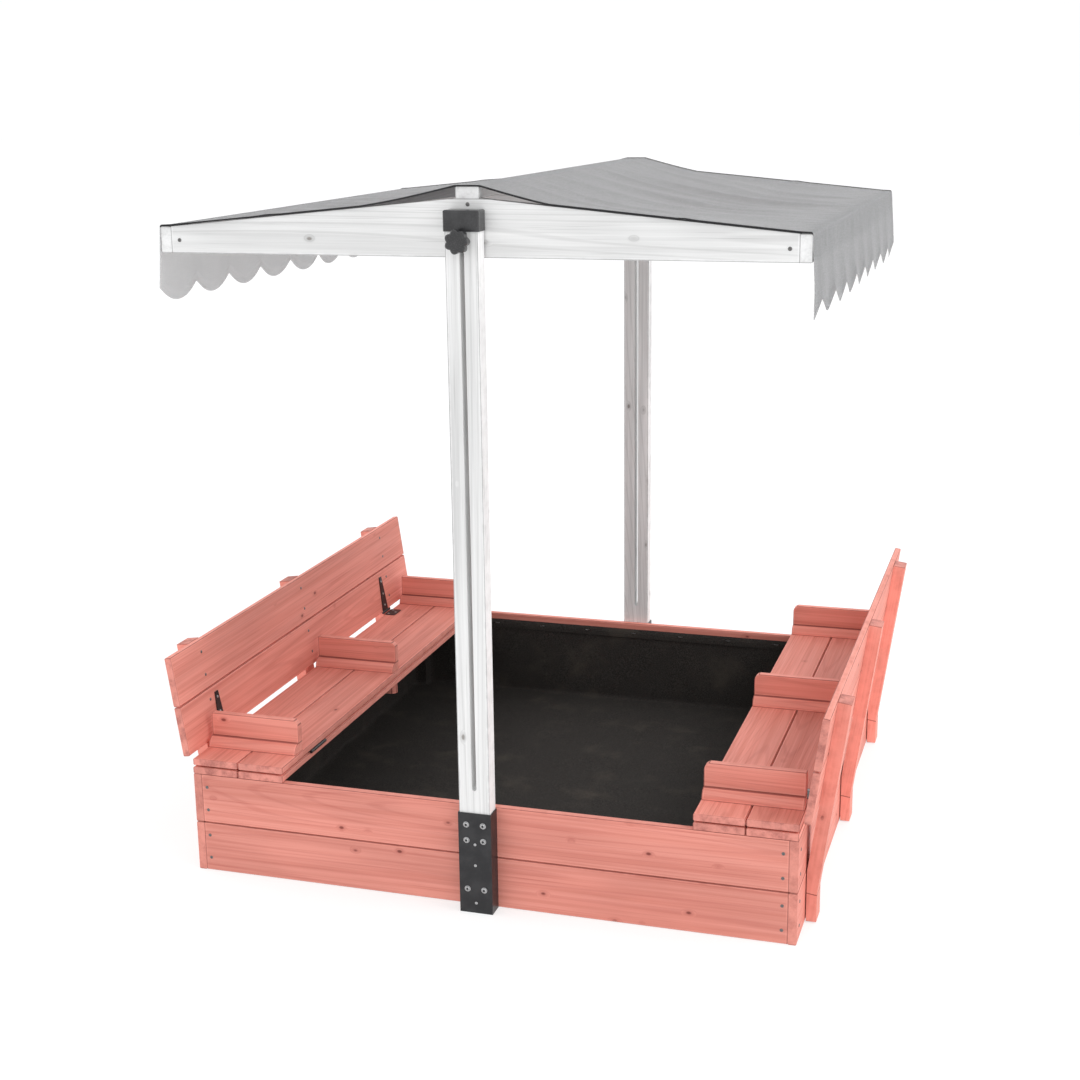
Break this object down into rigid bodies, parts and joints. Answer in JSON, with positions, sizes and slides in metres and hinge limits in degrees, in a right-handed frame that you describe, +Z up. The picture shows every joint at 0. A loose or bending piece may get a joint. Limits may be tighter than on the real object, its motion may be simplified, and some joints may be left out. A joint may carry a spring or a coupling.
{
  "type": "sandbox with cover",
  "caption": "Square timber sandbox with a slotted-post fabric canopy that slides and tilts, and folding lid benches whose backs close over the sand.",
  "frame": {"origin": "on the ground at the middle of the box's footprint", "axes": "+X to the right as seen from the front post, +Y from the front wall to the back wall, +Z up"},
  "size_m": [1.3478, 1.3264, 1.3468],
  "materials": {
    "stained_wood": "softwood boards under a salmon-red stain",
    "washed_wood": "softwood under a thin white-grey wash",
    "black_steel": "black coated sheet steel",
    "black_plastic": "moulded black plastic",
    "zinc_steel": "zinc-plated steel",
    "canopy_fabric": "grey woven polyester",
    "liner_fabric": "black non-woven ground fabric"
  },
  "bodies": {
    "box": {"wall_left_lower": "stained_wood", "wall_left_upper": "stained_wood", "wall_right_lower": "stained_wood", "wall_right_upper": "stained_wood", "wall_front_lower": "stained_wood", "wall_front_upper": "stained_wood", "wall_back_lower": "stained_wood", "wall_back_upper": "stained_wood", "corner_post_front_left": "stained_wood", "corner_post_front_right": "stained_wood", "corner_post_back_left": "stained_wood", "corner_post_back_right": "stained_wood", "liner_floor": "liner_fabric", "liner_skirt": "liner_fabric", "post_front": "washed_wood", "post_back": "washed_wood", "bracket_front": "black_steel", "bracket_back": "black_steel", "post_cap_front": "black_plastic", "post_cap_back": "black_plastic", "left_deck_inner": "stained_wood", "left_deck_outer": "stained_wood", "left_deck_cleat": "stained_wood", "right_deck_inner": "stained_wood", "right_deck_outer": "stained_wood", "right_deck_cleat": "stained_wood"},
    "clamp_carriage": {"clamp_bolt_front": "zinc_steel", "clamp_bolt_back": "zinc_steel"},
    "canopy": {"gable_front": "washed_wood", "gable_back": "washed_wood", "eave_rail_left": "washed_wood", "eave_rail_right": "washed_wood", "ridge_rail": "washed_wood", "canopy_fabric": "canopy_fabric"},
    "knob_front": {"star_knob_front": "black_plastic"},
    "knob_back": {"star_knob_back": "black_plastic"},
    "left_seat": {"left_seat_inner": "stained_wood", "left_seat_outer": "stained_wood", "left_armrest_front": "stained_wood", "left_armrest_middle": "stained_wood", "left_armrest_back": "stained_wood"},
    "left_back": {"left_back_lower": "stained_wood", "left_back_upper": "stained_wood", "left_batten_front": "stained_wood", "left_batten_middle": "stained_wood", "left_batten_back": "stained_wood", "left_hinge_strap_front": "black_steel", "left_hinge_strap_back": "black_steel"},
    "right_seat": {"right_seat_inner": "stained_wood", "right_seat_outer": "stained_wood", "right_armrest_front": "stained_wood", "right_armrest_middle": "stained_wood", "right_armrest_back": "stained_wood"},
    "right_back": {"right_back_lower": "stained_wood", "right_back_upper": "stained_wood", "right_batten_front": "stained_wood", "right_batten_middle": "stained_wood", "right_batten_back": "stained_wood", "right_hinge_strap_front": "black_steel", "right_hinge_strap_back": "black_steel"}
  },
  "joints": [
    {"name": "canopy_height", "type": "slide", "parent": "box", "child": "clamp_carriage", "axis": [0, 0, 1], "range_m": [-0.5, 0]},
    {"name": "canopy_tilt", "type": "hinge", "parent": "clamp_carriage", "child": "canopy", "pos_m": [0, 0, 1.2565], "axis": [0, 1, 0], "range_deg": [-20, 20]},
    {"name": "knob_front_turn", "type": "hinge", "parent": "clamp_carriage", "child": "knob_front", "pos_m": [0, -0.6487, 1.2565], "axis": [0, -1, 0], "continuous": true},
    {"name": "knob_back_turn", "type": "hinge", "parent": "clamp_carriage", "child": "knob_back", "pos_m": [0, 0.6487, 1.2565], "axis": [0, 1, 0], "continuous": true},
    {"name": "left_seat_fold", "type": "hinge", "parent": "box", "child": "left_seat", "pos_m": [-0.405, 0, 0.21955], "axis": [0, 1, 0], "range_deg": [0, 180]},
    {"name": "left_back_fold", "type": "hinge", "parent": "left_seat", "child": "left_back", "pos_m": [-0.604, 0, 0.2378], "axis": [0, -1, 0], "range_deg": [0, 82]},
    {"name": "right_seat_fold", "type": "hinge", "parent": "box", "child": "right_seat", "pos_m": [0.405, 0, 0.21955], "axis": [0, -1, 0], "range_deg": [0, 180]},
    {"name": "right_back_fold", "type": "hinge", "parent": "right_seat", "child": "right_back", "pos_m": [0.604, 0, 0.2378], "axis": [0, 1, 0], "range_deg": [0, 82]}
  ],
  "couplings": [
    {"joint": "left_back_fold", "follows": "left_seat_fold", "ratio": 0.45555},
    {"joint": "right_back_fold", "follows": "right_seat_fold", "ratio": 0.45555}
  ]
}
